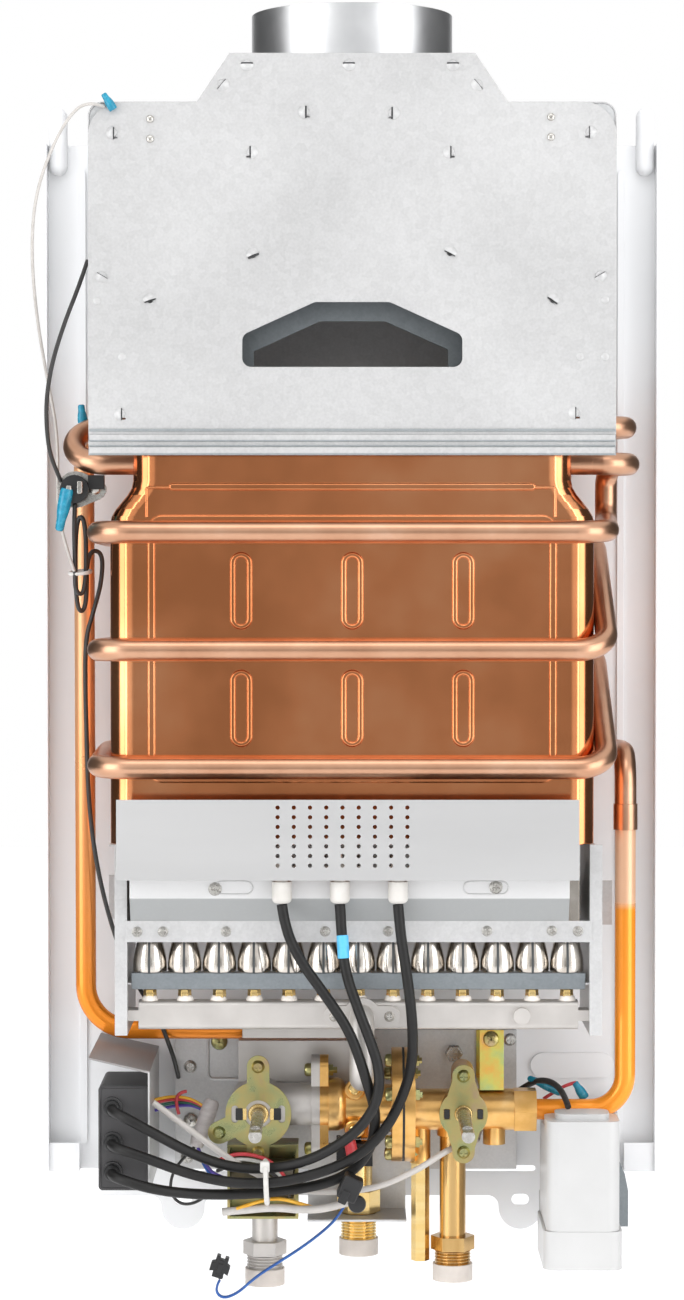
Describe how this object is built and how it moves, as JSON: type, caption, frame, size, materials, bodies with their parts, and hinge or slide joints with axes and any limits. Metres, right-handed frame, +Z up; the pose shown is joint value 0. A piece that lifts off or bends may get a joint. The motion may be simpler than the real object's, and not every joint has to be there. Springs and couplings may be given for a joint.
{
  "type": "tankless gas water heater",
  "caption": "Wall-hung tankless gas water heater with its front cover off: flue hood, copper heat exchanger, burner bars, gas and water valves, igniter and battery box.",
  "frame": {"origin": "on the wall plane, at the middle of the back panel's lower edge line", "axes": "+X to the right seen from the front, +Y into the wall, +Z up"},
  "size_m": [0.362, 0.156, 0.7409],
  "materials": {
    "white_panel": "powder coat",
    "galvanised": "galvanised sheet",
    "copper": "drawn copper",
    "stainless": "rolled stainless",
    "cast_aluminium": "die cast",
    "yellow_zinc": "yellow passivated zinc",
    "brass": "cast and machined",
    "ceramic_white": "glazed ceramic",
    "white_silicone": "moulded silicone",
    "black_silicone": "silicone sleeve",
    "rubber": "moulded rubber",
    "cap_plastic": "soft polyethylene",
    "black_plastic": "moulded",
    "grey_plastic": "moulded",
    "white_plastic": "moulded",
    "cell_jacket": "printed-free jacket",
    "white_wire": "insulated wire",
    "blue_wire": "insulated wire"
  },
  "bodies": {
    "casing": {"back_panel": "white_panel", "battery_box": "white_plastic", "battery_cells": "cell_jacket", "battery_lead": "white_wire", "burner_bars": "stainless", "burner_crossbar": "galvanised", "burner_tray": "galvanised", "cold_inlet": "brass", "cold_pipe": "copper", "diaphragm": "rubber", "diaphragm_cover": "brass", "display_connector": "black_plastic", "display_lead": "blue_wire", "draught_lead": "white_wire", "electrode_boots": "white_silicone", "electrodes": "ceramic_white", "exchanger_shell": "copper", "fin_pack": "copper", "fin_tubes": "copper", "flue_collar": "galvanised", "gas_cover_plate": "yellow_zinc", "gas_elbow": "cast_aluminium", "gas_inlet": "cast_aluminium", "gas_jets": "brass", "gas_manifold": "cast_aluminium", "gas_valve_body": "cast_aluminium", "high_tension_leads": "black_silicone", "hood_baffle": "galvanised", "hood_body": "galvanised", "hood_front_plate": "galvanised", "hot_outlet": "brass", "hot_pipe": "copper", "igniter_box": "grey_plastic", "igniter_shield": "galvanised", "microswitch": "black_plastic", "overheat_lead": "black_silicone", "panel_brackets": "galvanised", "shield_bracket": "galvanised", "solenoid_coil": "black_plastic", "solenoid_frame": "yellow_zinc", "splash_shield": "stainless", "steel_screws": "stainless", "thermostat": "black_plastic", "union_nut": "brass", "valve_plate": "galvanised", "valve_strap": "yellow_zinc", "water_coil": "copper", "water_cover_plate": "yellow_zinc", "water_valve_body": "brass", "zinc_screws": "yellow_zinc"},
    "gas_spindle_body": {"gas_spindle": "stainless"},
    "water_spindle_body": {"water_spindle": "stainless"},
    "drain_stick_body": {"drain_stick": "brass"},
    "battery_lid_body": {"battery_lid": "white_plastic"},
    "push_rod_body": {"push_rod": "stainless"},
    "switch_lever_body": {"switch_lever": "stainless"},
    "solenoid_plunger_body": {"solenoid_plunger": "stainless"},
    "gas_cap_body": {"gas_cap": "cap_plastic"},
    "hot_cap_body": {"hot_cap": "cap_plastic"},
    "cold_cap_body": {"cold_cap": "cap_plastic"}
  },
  "joints": [
    {"name": "gas_control_turn", "type": "hinge", "parent": "casing", "child": "gas_spindle_body", "pos_m": [-0.054, -0.11, 0.045], "axis": [0, -1, 0], "range_deg": [-45, 45]},
    {"name": "water_control_turn", "type": "hinge", "parent": "casing", "child": "water_spindle_body", "pos_m": [0.0643, -0.11, 0.045], "axis": [0, -1, 0], "range_deg": [-45, 45]},
    {"name": "drain_turn", "type": "hinge", "parent": "casing", "child": "drain_stick_body", "pos_m": [0.0398, -0.06, 0], "axis": [0, 0, 1], "range_deg": [0, 360]},
    {"name": "battery_lid_swing", "type": "hinge", "parent": "casing", "child": "battery_lid_body", "pos_m": [0.132, -0.0239, -0.022], "axis": [1, 0, 0], "range_deg": [0, 95]},
    {"name": "link_push", "type": "slide", "parent": "casing", "child": "push_rod_body", "axis": [-1, 0, 0], "range_m": [0, 0.0025], "stiffness_N_per_m": 800},
    {"name": "switch_lever_swing", "type": "hinge", "parent": "casing", "child": "switch_lever_body", "pos_m": [-0.0078, -0.062, 0.0282], "axis": [0, -1, 0], "range_deg": [0, 6.1], "stiffness_Nm_per_rad": 0.00005, "springref_deg": 41.25},
    {"name": "solenoid_pull", "type": "slide", "parent": "casing", "child": "solenoid_plunger_body", "axis": [-1, 0, 0], "range_m": [0, 0.003], "stiffness_N_per_m": 300},
    {"name": "gas_cap_pull", "type": "slide", "parent": "casing", "child": "gas_cap_body", "axis": [0, 0, -1], "range_m": [0, 0.02]},
    {"name": "hot_cap_pull", "type": "slide", "parent": "casing", "child": "hot_cap_body", "axis": [0, 0, -1], "range_m": [0, 0.02]},
    {"name": "cold_cap_pull", "type": "slide", "parent": "casing", "child": "cold_cap_body", "axis": [0, 0, -1], "range_m": [0, 0.02]}
  ],
  "couplings": [
    {"joint": "switch_lever_swing", "follows": "link_push", "rad_per_m": 42}
  ]
}
